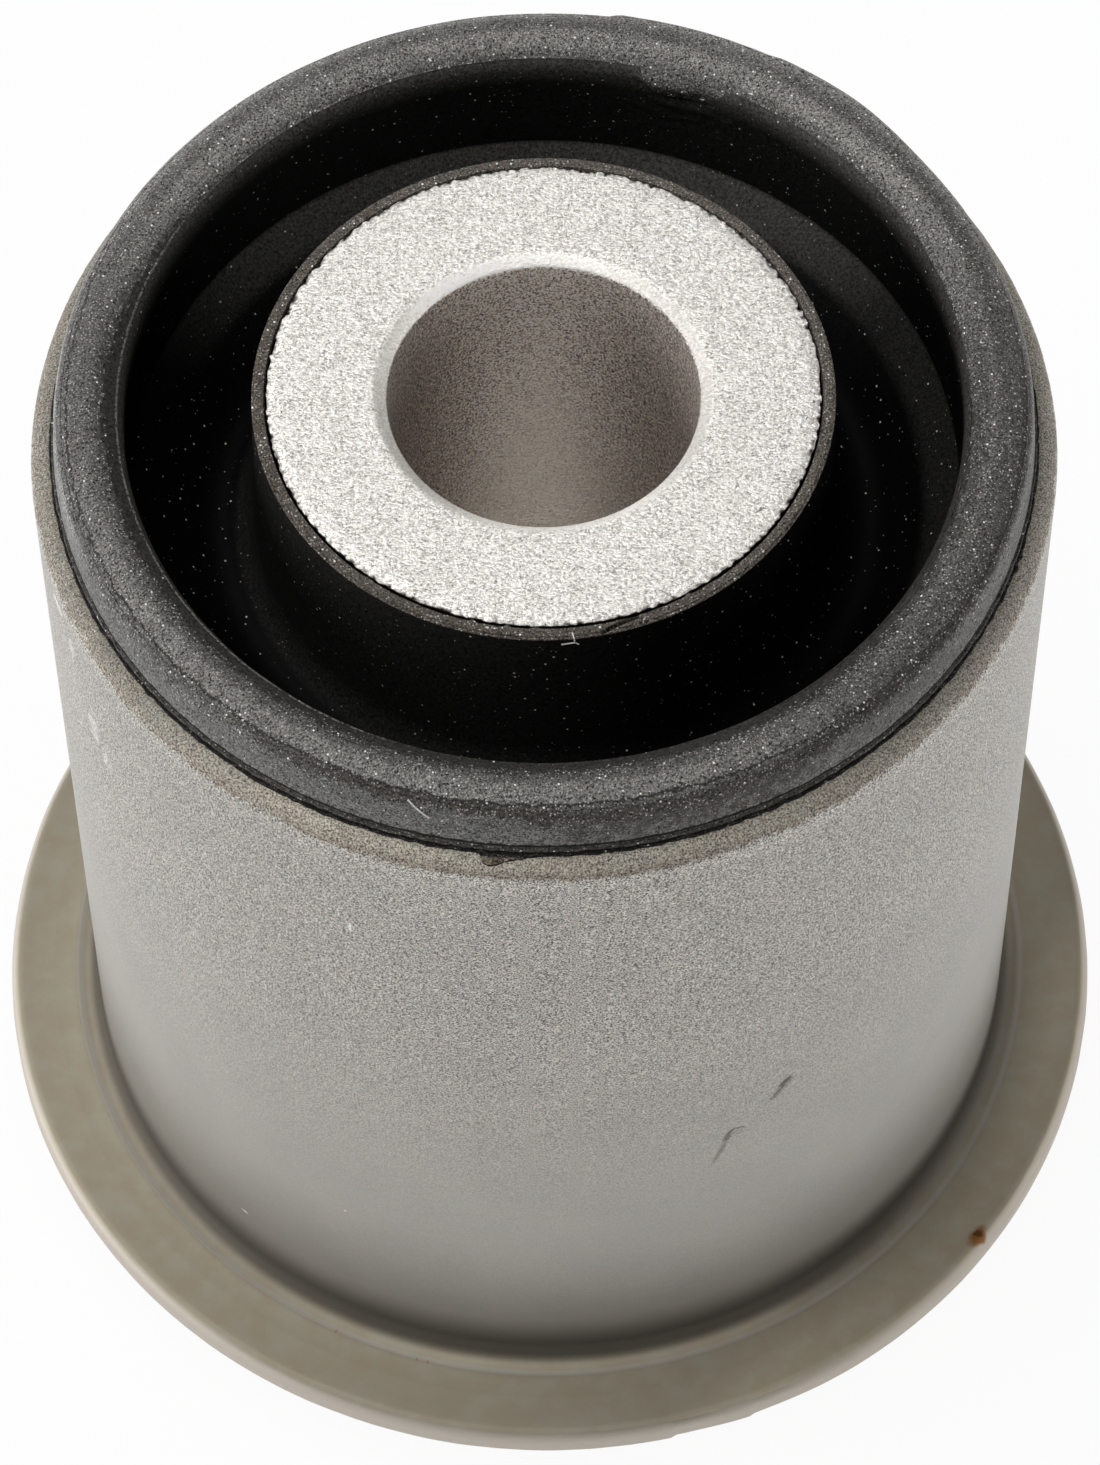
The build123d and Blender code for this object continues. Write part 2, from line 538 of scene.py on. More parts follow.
    def bump(self, height, strength, distance, before=None):
        """Relief from a height map, on top of an earlier one."""
        inputs = {"Height": height, "Strength": strength, "Distance": distance * MM}
        if before is not None:
            inputs["Normal"] = before
        return self.value("Normal", "ShaderNodeBump", inputs)

    def finished(self, inputs):
        """The material, with its base colour and these other inputs of its shader."""
        shader = add(self.tree, "ShaderNodeBsdfPrincipled", {"Base Color": self.base, **inputs})
        add(self.tree, "ShaderNodeOutputMaterial", {"Surface": shader["BSDF"]})
        return self.material


def on_ring(radius, angle, height):
    """A point from its distance to the axis, angle and height, in millimetres and degrees, in metres."""
    turn = math.radians(angle)
    return (radius * math.cos(turn) * MM, radius * math.sin(turn) * MM, height * MM)


def phosphated_steel(s):
    """Grey phosphated sheet with a sandy grain, olive tan on the flange and the rounded end."""
    f = Finish("phosphated_steel")
    sand, crystals = f.noise(0.085, 1.0), f.noise(0.26, 2.0, 0.6)
    cloud, tints = f.noise(5.0, 3.0, 0.55), f.noise(1.4, 2.0, 0.6)
    flange = f.upward(6.2, 5.0)
    wander = f.swing(crystals, -0.16 * MM, 0.16 * MM) + f.swing(tints, -0.12 * MM, 0.12 * MM)
    border = f.height + wander
    rounded = f.along(border, 53.30, 53.62)

    # The phosphate's own tints, and a paler line under the rounded end, a painted highlight
    f.base = f.blend(f.between(cloud, 0.35, 0.65), s.steel, tint(s.steel, 0.95, 0.95, 0.96))
    f.paint(tint(s.steel, 1.05, 0.97, 0.97), f.between(tints, 0.52, 0.68, 0.0, 0.35))
    f.paint(tint(s.steel, 0.95, 1.01, 0.97), f.between(tints, 0.48, 0.32, 0.0, 0.35))
    f.paint(tint(s.steel, 1.25), f.band(f.height, 52.6, 53.1, 0.4) * 0.35)

    # Tan, a little lighter near the barrel and darker out towards the rim, paler out from the barrel at the
    # front right as painted light where the barrel's shadow ends, and the brown line where it stops
    tan = f.blend(f.between(f.noise(1.6, 3.0, 0.6), 0.35, 0.65), s.tan, tint(s.tan, 0.96, 0.90, 0.86))
    tan = f.blend(flange, tan, f.times(tan, f.outward(25.4, 28.2, 1.10, 0.93, False)))
    right = f.towards(-36.0, 20.0, 24.5) * flange
    tan = f.blend(right, tan, f.times(tan, f.outward(24.6, 27.6, 1.0, 1.36)))
    f.paint(tan, flange | rounded)
    f.paint(s.steel, rounded * 0.30)
    # The rounded end darker towards the left and the right, painted shade
    painted_side_shade = f.along(f.x, 8.0, 20.0, 1.0, 0.70) * f.along(f.x, -10.0, -20.0, 1.0, 0.60)
    f.paint(f.times(f.base, painted_side_shade), rounded)
    brown = f.band(border, 53.42, 53.52, 0.16) * f.between(tints, 0.35, 0.6, 0.35, 0.85)
    f.paint(tint(s.brown, 0.82, 0.88, 0.86), brown)
    # A paler grey line at the end of the bend, a painted highlight, and the rim paler still, a painted
    # highlight along the flange's edge
    f.paint(s.steel, f.band(f.radius, 25.06, 25.20, 0.16) * flange * 0.50)
    f.paint(s.rim, flange * f.outward(28.35, 28.72))

    # Painted shade in the bend at the left, at the barrel's foot and in its root, and a painted shadow of the
    # barrel in the corner at the right
    f.paint(s.grime_and_shade, f.band(f.radius, 24.35, 25.1, 0.2) * flange * f.towards(180.0, 4.0, 20.0) * 0.40)
    f.paint(s.grime_and_shade, f.upward(19.0, 8.0) * f.outward(24.8, 24.3, 0.0, 0.28))
    f.paint(s.grime_and_shade, f.upward(9.0, 5.9) * f.outward(24.72, 24.22) * 0.70)
    f.paint(s.grime_and_shade, f.upward(8.5, 6.0) * f.outward(25.3, 24.5) * f.towards(-28.0, 19.0, 23.5) * 0.55)

    # Grain, pits and glints, which fade out towards the foot
    amount = f.mix(f.upward(17.0, 43.0), 0.12, 1.0) - rounded * 0.15
    amount = amount * f.upward(8.0, 12.0, 0.35, 1.0)
    grain = f.swing(sand, -0.98, 0.98) + f.swing(crystals, -0.05, 0.05)
    f.base = f.times(f.base, grain * amount + 1.0 | 0.1)
    for cell, reach, chance, depth in ((0.13, 0.36, 0.36, 0.65), (0.34, 0.18, 0.30, 0.70)):
        f.paint(tint(s.steel, 0.16), f.specks(cell, reach, chance) * amount * depth)
    for cell, reach, chance, light in ((0.14, 0.32, 0.35, 0.50), (0.55, 0.11, 0.35, 0.75)):
        f.paint((0.85, 0.83, 0.78), f.specks(cell, reach, chance) * amount * light)

    # Rubbed spots, dirt and painted shade in the gouges, the rust spot with its dark heart, and three rusty
    # dots
    rub = f.noise(0.22, 3.0, 0.7)
    for angle, height, sizes, strength in RUBS:
        spot = f.patch((24.0, angle, height), sizes, (0.0, 14.0, 0.0), f.noise(0.8))
        f.paint((0.90, 0.89, 0.87), spot * f.between(rub, 0.35, 0.55, 0.0, strength))
    for (angle, height), sizes, turn, strength in GOUGE_DIRT_AND_SHADE:
        spot = f.patch((23.95, angle, height), sizes, (turn, 0.0, 0.0), crystals, 0.2)
        f.paint(tint(s.grime_and_shade, 1.7), spot * strength)
    rust = f.patch((28.20, -38.35, 4.75), (0.56, 0.72, 0.7), (0.0, 0.0, 0.35), f.noise(0.9, 1.0), 0.25)
    f.paint(s.rust, rust * 0.9)
    heart = f.patch((28.18, -38.1, 4.75), (0.30, 0.34, 0.6), (0.0, 0.0, 0.1), f.noise(0.25), 0.4)
    f.paint(tint(s.rust, 0.25), heart * 0.75)
    for angle in (-116.4, -106.2, -104.9):
        f.paint((0.42, 0.10, 0.07), f.patch((25.25, angle, 4.85), (0.16, 0.10, 0.15)) * 0.55)

    relief = f.bump(sand, f.mix(amount, 0.05, 0.7), 0.03)
    return f.finished({
        "Metallic": 0.6 - rounded * 0.5,
        "Roughness": f.swing(sand, 0.40, 0.54) + (flange | rounded) * 0.14,
        "Normal": f.bump(crystals, f.mix(amount, 0.03, 0.12), 0.04, relief),
    })


def moulded_rubber(s):
    """Deep black rubber in the grooves, with a few pale specks."""
    f = Finish("moulded_rubber")
    fine = f.noise(0.14, 2.0, 0.7)
    back = f.towards(90.0, 6.0, 16.0)

    # Where dust and painted light lie: the shoulder, lighter at the back and on the lit side as painted
    # light, the coat, the rolled fold with its dark gash kept bare as painted shade, the mouth, lighter at
    # the back as painted light, and the mouth's ridge, lighter at the left as a painted highlight
    lit_side = f.towards(20.0, 4.0, 18.0) * 0.25
    shoulder = f.band(f.height, 48.6, 50.15, 0.25) * f.outward(17.6, 18.4) * (back | lit_side) * 0.55
    coat = f.outward(15.0, 14.5) * f.towards(-140.0, 3.0, 12.0)
    roll = f.patch((19.6, 68.5, 54.85), (1.0, 2.8, 0.55), ragged=f.noise(0.9), amount=0.5)
    mouth = f.outward(19.0, 19.3) * f.upward(54.4, 56.7) * f.mix(back, 0.30, 0.55)
    dust_and_painted_light = back * 0.08 | coat * 0.12 | roll * 0.17 | shoulder | mouth
    dust_and_painted_light = dust_and_painted_light * (1.0 - f.patch((19.6, 70.9, 55.45), (1.0, 1.55, 0.17), ragged=fine, amount=0.15))
    ridge = f.band(f.radius, 19.76, 19.82, 0.04) * f.upward(56.3, 56.5) * f.towards(-165.0, 8.0, 18.0)
    dust_and_painted_light = dust_and_painted_light | ridge * f.between(fine, 0.35, 0.6, 0.3, 2.0)

    f.base = f.times(f.blend(dust_and_painted_light, s.rubber, s.bloom), f.swing(fine, 0.3, 1.7))
    for specks in ((0.30, 0.13, 0.46, 0.72, 0.60), (0.54, 0.12, 0.50, 0.60, 1.0)):
        f.paint(s.dust, f.powder(*specks))
    f.paint((0.9, 0.88, 0.82), f.patch((19.7, 66.55, 55.74), (0.5, 0.17, 0.17), (0.0, 0.0, -0.05)))
    return f.finished({
        "Specular IOR Level": 0.05,
        "Roughness": f.swing(fine, 0.45, 0.65),
        "Normal": f.bump(fine, 0.4, 0.03),
    })


def bloomed_rubber(s):
    """The same rubber where it stands open: dull with bloom, dust and a sharp grain, and painted light and
    shade.
    """
    f = Finish("bloomed_rubber")
    fine, mottle, cloud = f.noise(0.11, 2.0, 0.8), f.noise(0.55, 3.0, 0.65), f.noise(3.0, 3.0, 0.6)
    drift = f.swing(mottle, -0.12 * MM, 0.12 * MM)
    ring, level = f.radius + drift, f.height + drift * 0.45
    front, back = f.towards(-125.0, -4.0, 8.0), f.towards(90.0, 2.0, 14.0)
    side = f.outward(22.55, 22.66)
    flash = f.outward(22.84, 22.88) * f.upward(54.52, 54.46)
    tab = flash * f.outward(23.16, 23.24)

    # How light the bloom is, as painted light and shade, with the fold's lobe and both ends of the bead's
    # side last: the side lighter towards its foot, painted shade on the inner margin at the front and at the
    # right, a painted highlight on the crown at the front, painted shade on the crown at the right, painted
    # light on the crown and the outside at the back, painted shade on the lower part of the fold's lobe, and
    # painted highlights at both ends of the bead's side
    lobe = f.outward(19.98, 19.80) * f.outward(16.0, 17.0) * f.towards(71.0, 18.6, 19.0)
    ends = f.towards(180.0, 20.5, 22.3) | f.towards(-15.0, 20.5, 22.3) * 0.5
    light = f.blend(side, 0.92, f.grey(f.upward(56.3, 54.7, 1.15, 2.0)))
    for where, tone in (
        (f.along(ring, 21.2, 20.2, 0.0, 0.74) * front, 0.0),
        (f.band(ring, 21.32, 21.95, 0.28) * f.towards(-105.0, 6.0, 15.0), 1.45),
        (f.band(ring, 21.2, 22.5, 0.3) * f.towards(-8.0, 8.0, 20.0), 0.62),
        (f.along(ring, 20.95, 20.35, 0.0, 0.5) * f.towards(-25.0, 14.0, 19.5), 0.0),
        (f.band(f.radius, 20.40, 20.9, 0.5) * back, 1.65),
        (f.outward(21.7, 22.3) * back, 1.7),
        (lobe, f.grey(f.upward(55.60, 56.5, 0.10, 0.85))),
        (side * ends, 2.4),
    ):
        light = f.blend(where, light, tone)

    # Bloom, a little bluish on the side as a painted reflection, with a brown valley outside the crown that
    # is darker at the front as painted shade, the parting line darkened at the front as painted shade, the
    # coat's end, its crack painted near-black as painted shade, and the flash
    f.base = f.blend(side, s.bloom, tint(s.bloom, 0.94, 0.97, 1.00))
    valley = ring - f.along(abs(f.x - 6.0 * MM), 9.0, 4.0, 0.0, 0.26 * MM)
    f.paint(tint(s.shade, 0.75), f.band(valley, 22.20, 22.48, 0.15) * f.towards(-60.0, 4.0, 14.0) * 0.70)
    f.base = f.blend(1.0, f.base, light, "MULTIPLY")
    f.paint(tint(s.shade, 0.2), f.band(ring, 22.09, 22.16, 0.05) * front * 0.85)
    f.paint(tint(s.shade, 2.3, 2.4, 2.5), f.outward(16.0, 15.0) * 0.8)
    f.paint(0.002, f.patch((13.20, -76.6, 57.0), (0.10, 0.90, 0.8), (0.0, 0.0, 13.4), fine, 0.1))
    f.paint(tint(s.bloom, 0.54, 0.52, 0.48), flash)
    f.paint(tint(s.shade, 3.4), tab)

    # Grain, dust and flakes
    grain = f.between(fine, 0.35, 0.65, -0.98, 1.18, False) + f.swing(mottle, -0.20, 0.20)
    f.base = f.times(f.base, grain + 1.0 | 0.03)
    drifts = f.between(cloud, 0.35, 0.65, 0.65, 1.0) * f.between(mottle, 0.35, 0.6, 0.70, 1.0)
    for specks in ((0.13, 0.40, 0.44, 0.72, 0.60), (0.16, 0.32, 0.44, 0.60, 0.9)):
        f.paint(s.dust, f.powder(*specks) * drifts)
    f.paint((0.85, 0.84, 0.82), f.specks(0.36, 0.19, 0.42))

    # Pits, and the seams between the layers of flash painted dark as painted shade, but not on top of the tab
    painted_seam_shade = f.band(level, 54.46, 54.60, 0.05) | f.band(level, 54.10, 54.20, 0.03)
    painted_seam_shade = (painted_seam_shade | f.along(level, 54.10, 54.05)) * f.outward(22.80, 22.84) * 0.95
    normal = f.value("True Normal", "ShaderNodeNewGeometry")
    top = tab * f.between(f.value("Z", "ShaderNodeSeparateXYZ", {0: normal}), 0.5, 0.8)
    dark = (f.specks(0.24, 0.28, 0.45) | painted_seam_shade) * (1.0 - top)
    f.paint(0.002, dark * 0.95)
    return f.finished({
        "Specular IOR Level": 0.25,
        "Roughness": f.swing(fine, 0.26, 0.52) + dark * 0.5 + flash * 0.2,
        "Normal": f.bump(mottle, 0.3, 0.08, f.bump(fine, 1.0, 0.10)),
    })


def blasted_aluminium(s):
    """Light blasted aluminium with pebbles and fine crevices darkened as painted shade, and a browner bore
    with painted light and shade.
    """
    f = Finish("blasted_aluminium")
    pebble, fine = f.noise(0.135, 2.0, 0.6, (0.70, 1.0, 1.0)), f.noise(0.10, 2.0, 0.6)
    worm, cloud = f.noise(0.155, 2.0, 0.55, (0.55, 1.10, 1.0)), f.noise(2.4)
    bore = f.outward(7.32, 7.26)
    smooth = f.outward(8.05, 7.65) * (1.0 - bore)
    near = f.between(abs(worm - 0.5), 0.034, 0.010)
    crevice_shade = near * f.between(f.noise(0.24, 1.0), 0.34, 0.60) * (1.0 - smooth * 0.6)

    # How light the face, the countersink and the bore are, with painted shade on the countersink at the right
    # and the left and painted light at its back left, the bore lighter lower down as painted light, and
    # painted shade on the bore's left and right walls
    tone = (f.swing(pebble, 0.76, 1.26) + f.swing(fine, -0.30, 0.30)) * f.swing(cloud, 0.98, 1.02)
    even = tone * 0.5 + 0.55
    for angle, fall in ((8.0, 0.36), (-168.0, 0.34), (130.0, -0.20)):
        even = even * f.mix(f.towards(angle, 3.0, 7.2), 1.0, 1.0 - fall)
    sandy = f.along(f.height + abs(f.x) * 2.5, 40.0, 58.0, 0.25, 1.0)
    sand = f.between(f.noise(0.125, 2.0, 0.7), 0.33, 0.67, -0.85, 0.85, False) + f.swing(fine, -1.0, 1.0)
    sand = sand * sandy + f.upward(50.0, 36.0, 1.08, 1.20) | 0.05
    sand = sand * f.mix(f.towards(180.0, 2.0, 7.0), 1.05, 0.54) * f.mix(f.towards(15.0, 2.0, 7.0), 1.0, 0.66)
    f.base = f.times(f.blend(bore, s.aluminium, s.bore), f.mix(bore, f.mix(smooth, tone, even), sand))

    # Crevices darkened as painted shade, the face's brink painted near-black as the shade of the gap to the
    # coat, glints and pits in the bore, and the marks on the face
    f.paint(s.crevice_shade, crevice_shade * f.mix(bore, 0.72, 0.25))
    f.paint((0.012, 0.010, 0.008), f.outward(12.6, 12.7) * f.upward(57.15, 57.06) * f.upward(0.0, 0.1))
    f.paint((0.95, 0.92, 0.86), f.specks(0.26, 0.22, 0.45) * bore * sandy * 0.85)
    f.paint(tint(s.bore, 0.2), f.specks(0.30, 0.22, 0.35) * bore * 0.75)
    for (radius, angle), sizes, turn, colour, strength in FACE_MARKS:
        spot = f.patch((radius, angle, END_FACE), (*sizes, 0.2), (0.0, 0.0, turn), fine)
        f.paint(colour, spot * strength)

    relief = f.bump(pebble - crevice_shade * 0.3, f.mix(smooth, 1.0, 0.6), 0.075)
    return f.finished({
        "Metallic": f.mix(bore, 0.7, 0.72) - smooth * 0.15,
        "Roughness": f.mix(bore, 0.46, 0.42) + smooth * 0.12,
        "Normal": f.bump(fine, 0.5, 0.03, relief),
    })


def lint_fibre():
    """Pale fibres that cling to the rubber."""
    f = Finish("lint_fibre")
    f.base = f.times((0.62, 0.60, 0.56), f.swing(f.noise(0.12), 0.75, 1.15))
    return f.finished({"Roughness": 0.6})


# Marks of use, in millimetres and degrees round the axis


# Paths of gouges and folds: place along the wall, height, half the width there, and share of the depth
GOUGES = (
    (
        (-25.40, 29.35, 0.10, 0.3),
        (-25.80, 28.80, 0.42, 0.9),
        (-26.10, 28.45, 0.40, 1.0),
        (-26.50, 27.90, 0.20, 0.5),
        (-27.00, 27.60, 0.10, 0.2),
    ),
    (
        (-27.90, 25.60, 0.20, 0.3),
        (-28.25, 25.85, 0.38, 0.9),
        (-28.58, 25.90, 0.42, 1.0),
        (-28.87, 25.60, 0.38, 1.0),
        (-29.00, 25.20, 0.26, 0.7),
        (-29.55, 23.53, 0.14, 0.45),
        (-30.05, 21.92, 0.08, 0.1),
    ),
)
CREASE = (
    (26.10, 56.10, 0.14, 0.1),
    (25.90, 55.60, 0.22, 0.9),
    (25.10, 55.25, 0.26, 1.0),
    (24.10, 55.12, 0.26, 1.0),
    (23.00, 55.22, 0.22, 0.7),
    (21.60, 55.60, 0.15, 0.1),
)
ROLLS = ((27.6, 54.4, 0.35, 0.1), (26.3, 54.1, 0.42, 0.8), (24.6, 53.6, 0.45, 1.0), (22.6, 53.7, 0.35, 0.1))

# The crack's path over the coat's end, with the distance to the axis for the height
CRACK = (
    (-16.30, 13.02, 0.13, 1.0),
    (-16.75, 13.06, 0.14, 1.0),
    (-17.25, 13.16, 0.12, 1.0),
    (-17.75, 13.30, 0.10, 0.8),
    (-18.10, 13.42, 0.07, 0.3),
)

# Darker patches in the gouges, dirt and painted shade: angle and height, half sizes, tilt and strength
GOUGE_DIRT_AND_SHADE = (
    ((-61.85, 28.72), (0.5, 0.66, 0.34), 50.0, 0.80),
    ((-62.80, 27.95), (0.5, 0.60, 0.16), 48.0, 0.50),
    ((-67.70, 26.00), (0.5, 0.50, 0.24), -22.0, 0.60),
    ((-68.55, 25.95), (0.5, 0.46, 0.28), 15.0, 0.80),
    ((-69.05, 25.40), (0.5, 0.60, 0.24), 66.0, 0.65),
    ((-70.10, 24.00), (0.5, 1.50, 0.14), 68.0, 0.42),
)

# Angle, height, half sizes and strength
RUBS = (
    (-160.2, 51.9, (0.5, 0.95, 0.30), 0.90),
    (-156.5, 50.6, (0.5, 0.30, 1.2), 0.50),
    (-152.0, 46.2, (0.6, 0.7, 2.0), 0.50),
    (-149.6, 44.8, (0.5, 0.4, 1.2), 0.45),
    (-131.25, 9.66, (0.3, 0.28, 0.12), 1.0),
    (-112.4, 46.3, (0.3, 0.13, 0.55), 1.0),
    (-115.6, 16.6, (0.3, 0.12, 0.12), 0.7),
)

# Distance to the axis and angle, half sizes, turn, colour and strength
FACE_MARKS = (
    ((11.93, -34.25), (0.10, 0.36), -20.0, (0.10, 0.095, 0.09), 0.75),
    ((10.36, -31.33), (0.12, 0.16), 10.0, (0.16, 0.15, 0.14), 0.70),
    ((11.91, -22.93), (0.13, 0.10), 30.0, (0.13, 0.12, 0.11), 0.70),
    ((11.71, -26.87), (0.10, 0.12), 0.0, (0.18, 0.17, 0.16), 0.60),
    ((12.49, -3.55), (0.09, 0.14), 0.0, (0.13, 0.12, 0.11), 0.70),
    ((12.08, -7.30), (0.10, 0.75), 0.0, (0.40, 0.43, 0.50), 0.55),
    ((9.20, -141.0), (0.10, 0.13), 0.0, (0.20, 0.19, 0.18), 0.60),
    ((10.70, 152.0), (0.12, 0.10), 0.0, (0.22, 0.21, 0.20), 0.55),
)


# Pieces


class BUSH_OT_outer_sleeve(bpy.types.Operator):
    """Form the flanged steel sleeve"""

    bl_idname = "bush.outer_sleeve"
    bl_label = "Outer sleeve"

    def section(self, s):
        """The sheet's section, round from the bore's mouth."""
        bottom, free_end = OUTER_LOW.z, OUTER_HIGH.z
        top, wall = bottom + s.sheet, s.barrel_radius
        bore, bend = wall - s.sheet, s.bend_radius
        section = [(bore, free_end - s.free_end_chamfer), (bore + s.free_end_chamfer, free_end)]
        section += arc((wall - s.free_end_radius, free_end - s.free_end_radius), s.free_end_radius, 90, 0, 12)
        # Down the barrel, with finer rows where the gouges lie
        for low, pieces in ((34.0 * MM, 12), (20.5 * MM, 54), (top + bend, 8)):
            section += straight(section[-1], (wall, low), pieces) + [(wall, low)]
        section += arc((wall + bend, top + bend), bend, 180, 270, 10)[1:]
        # Two faint rings that the press left on the flange
        ring = ((-0.14, 0.0), (-0.05, 0.8), (0.05, 1.0), (0.3, 0.0))
        for middle, rise in ((25.36 * MM, 0.010 * MM), (26.52 * MM, 0.005 * MM)):
            section += [(middle + out * MM, top + up * rise) for out, up in ring]
        section += straight(section[-1], (s.flange_radius - s.rim_radius, top), 3)
        section += arc((s.flange_radius - s.rim_radius, top - s.rim_radius), s.rim_radius, 90, 0, 12)
        section += arc((s.flange_radius - s.burr_radius, bottom + s.burr_radius), s.burr_radius, 0, -90, 4)
        section += arc((wall + bend, top + bend), bend + s.sheet, 270, 180, 8)
        return section

    def execute(self, context):
        s = context.scene.bush_outer_sleeve
        piece = turned("flanged_sleeve", self.section(s), 600)
        wall = s.barrel_radius / MM

        # The two gouges, with a low rim of metal round each
        radius, angle, height = places(piece, "polygons")
        upper = (np.abs(angle + 62.7) < 2.9) & (np.abs(height - 28.5) < 1.3)
        lower = (np.abs(angle + 69.2) < 3.1) & (np.abs(height - 24.1) < 2.6)
        refine(piece, (np.abs(radius - wall) < 0.1) & (upper | lower), 4)
        radius, angle, height = places(piece)
        along, outside = np.radians(angle) * wall, np.abs(radius - wall) < 0.05
        for path in GOUGES:
            wide = [(a, b, 1.7 * half, depth) for a, b, half, depth in path]
            hollow, rim = stroke(along, height, path), stroke(along, height, wide)
            push(piece, outside * hollow, -0.14)
            push(piece, outside * np.clip(rim - 2.0 * hollow, 0.0, 1.0), 0.025)

        # The uneven border under the rounded end, and the worn rim of the flange with its nicks
        radius, angle, height = places(piece)
        push(piece, span(height, 53.05, 54.1) * (radius > wall - 1.1), -0.045, lumps=0.55)
        rim = (radius > 28.5) & (height < 5.0)
        push(piece, rim, -0.06, lumps=3.2, middle=0.0)
        nicks = ramp(angle, -77.9, -77.4) * ramp(angle, -70.0, -76.0)
        nicks += 0.8 * ramp(angle, -69.4, -68.9) * ramp(angle, -60.0, -68.0)
        push(piece, rim * nicks, -0.10)
        piece.data.materials.append(phosphated_steel(s))
        hand_in(piece, "outer_steel", "outer_sleeve")
        return {"FINISHED"}


class BUSH_OT_rubber_ring(bpy.types.Operator):
    """Mould the rubber between the sleeves"""

    bl_idname = "bush.rubber_ring"
    bl_label = "Rubber"

    def end_section(self, s, outer, fine):
        """The free end's section from the inner sleeve out to the foot of the bead."""
        inner_radius, end_face = INNER_HIGH.x, INNER_HIGH.z
        coat_radius, coat_end = inner_radius + s.coat, end_face - s.set_back
        bead_radius = outer.barrel_radius - s.bead_set_in
        lip_radius = outer.barrel_radius - outer.sheet - s.lip_wall
        shoulder = (lip_radius - s.lip_draft, end_face - s.shoulder_depth)
        foot_radius = coat_radius + s.draft
        foot = (foot_radius, shoulder[1] - (shoulder[0] - foot_radius))
        crown = (bead_radius - s.crown_set_in, end_face - s.clearance - s.crown_radius)
        lip_angle, gap = 133.0, s.coat_gap
        side = math.radians(lip_angle)
        reach = s.crown_radius - s.lip_rounding
        lip = (crown[0] + reach * math.cos(side), crown[1] + reach * math.sin(side))
        rounding = (bead_radius - s.bead_shoulder, 0.0)
        rise = math.sqrt((s.crown_radius - s.bead_shoulder) ** 2 - (rounding[0] - crown[0]) ** 2)
        rounding = (rounding[0], crown[1] + rise)
        meeting = math.degrees(math.atan2(rise, rounding[0] - crown[0]))
        ledge = (coat_radius - s.coat_step, coat_end - 0.6 * s.coat_step)
        section = [(inner_radius, coat_end - 3.0 * gap), (inner_radius + gap, coat_end - 0.3 * gap)]
        section += straight(section[-1], (ledge[0], coat_end), fine)
        section += [(ledge[0] - 0.04 * MM, coat_end), (ledge[0], coat_end - 0.03 * MM), ledge]
        section += rounded(ledge, (coat_radius, ledge[1]), foot, 0.07 * MM, 3)
        floor = rounded(section[-1], foot, shoulder, s.floor_radius, 2 * fine)
        section += straight(section[-1], floor[0], fine) + floor
        section += straight(floor[-1], shoulder, fine) + [shoulder]
        section += straight(shoulder, (lip[0] - s.lip_rounding, lip[1]), 2 * fine)
        section += arc(lip, s.lip_rounding, 180.0, lip_angle + 1.5, 2 * fine)
        section += arc(crown, s.crown_radius + s.ridge, lip_angle + 0.4, lip_angle - 0.4, 1)
        section += arc(crown, s.crown_radius, lip_angle - 1.5, meeting + 1.4, 5 * fine)
        section += arc(crown, s.crown_radius - s.parting, meeting + 0.4, meeting - 0.4, 1)
        section += arc(rounding, s.bead_shoulder, meeting - 3.0, 5.0, 3 * fine)
        return section

    def seat_section(self, s, outer):
        """The rest of the free end's side: the bead's foot and the two layers of flash, down to the bore."""
        free_end = OUTER_HIGH.z
        bead = outer.barrel_radius - s.bead_set_in
        bore = outer.barrel_radius - outer.sheet
        foot = (bead + s.bead_draft, free_end + s.flash + 0.06 * MM)
        edge = bead + s.flash_width
        section = [foot, (foot[0] - 0.03 * MM, free_end + s.flash)]
        section += straight(section[-1], (edge - 0.05 * MM, free_end + s.flash), 2)
        section += [(edge - 0.05 * MM, free_end + s.flash), (edge - 0.02 * MM, free_end + 0.22 * MM)]
        section += [(edge - 0.16 * MM, free_end + 0.18 * MM), (edge - 0.16 * MM, free_end + 0.12 * MM)]
        section += [(edge + 0.06 * MM, free_end + 0.10 * MM), (edge + 0.09 * MM, free_end + 0.01 * MM)]
        section += [(edge, free_end), (bore + outer.free_end_chamfer, free_end)]
        section += [(bore, free_end - outer.free_end_chamfer)]
        return section

    def seam(self, piece):
        """The flash's uneven edge, with a tab in front and nubs at the right."""
        radius, angle, height = places(piece, "polygons")
        front, nubs = within(angle, -98.4, -91.5), np.abs(angle + 21.5) < 3.5
        refine(piece, (radius > 22.9) & within(height, 53.95, 54.16) & (front | nubs), 3)
        radius, angle, height = places(piece)
        edge = (radius > 22.9) & within(height, 53.98, 54.43)
        push(piece, edge, 0.13, lumps=0.6)
        push(piece, edge & (height < 54.2), 0.16, lumps=0.28)
        radius, angle, height = places(piece)
        ledge = ramp(radius, 22.92, 23.05) * within(height, 53.9, 54.17)
        tab = np.interp(
            angle, (-97.7, -97.4, -96.6, -95.6, -94.2, -92.0, -89.0), (0.0, 0.85, 1.0, 0.8, 0.38, 0.14, 0.0)
        )
        push(piece, ledge * tab, -0.52, "Y")
        push(piece, ledge * tab, -0.20, "Z")
        for middle, reach, size in ((-20.3, 0.7, 0.15), (-18.7, 0.6, 0.14), (-17.4, 0.35, 0.08)):
            push(piece, ledge * hump(angle, middle, reach), size)

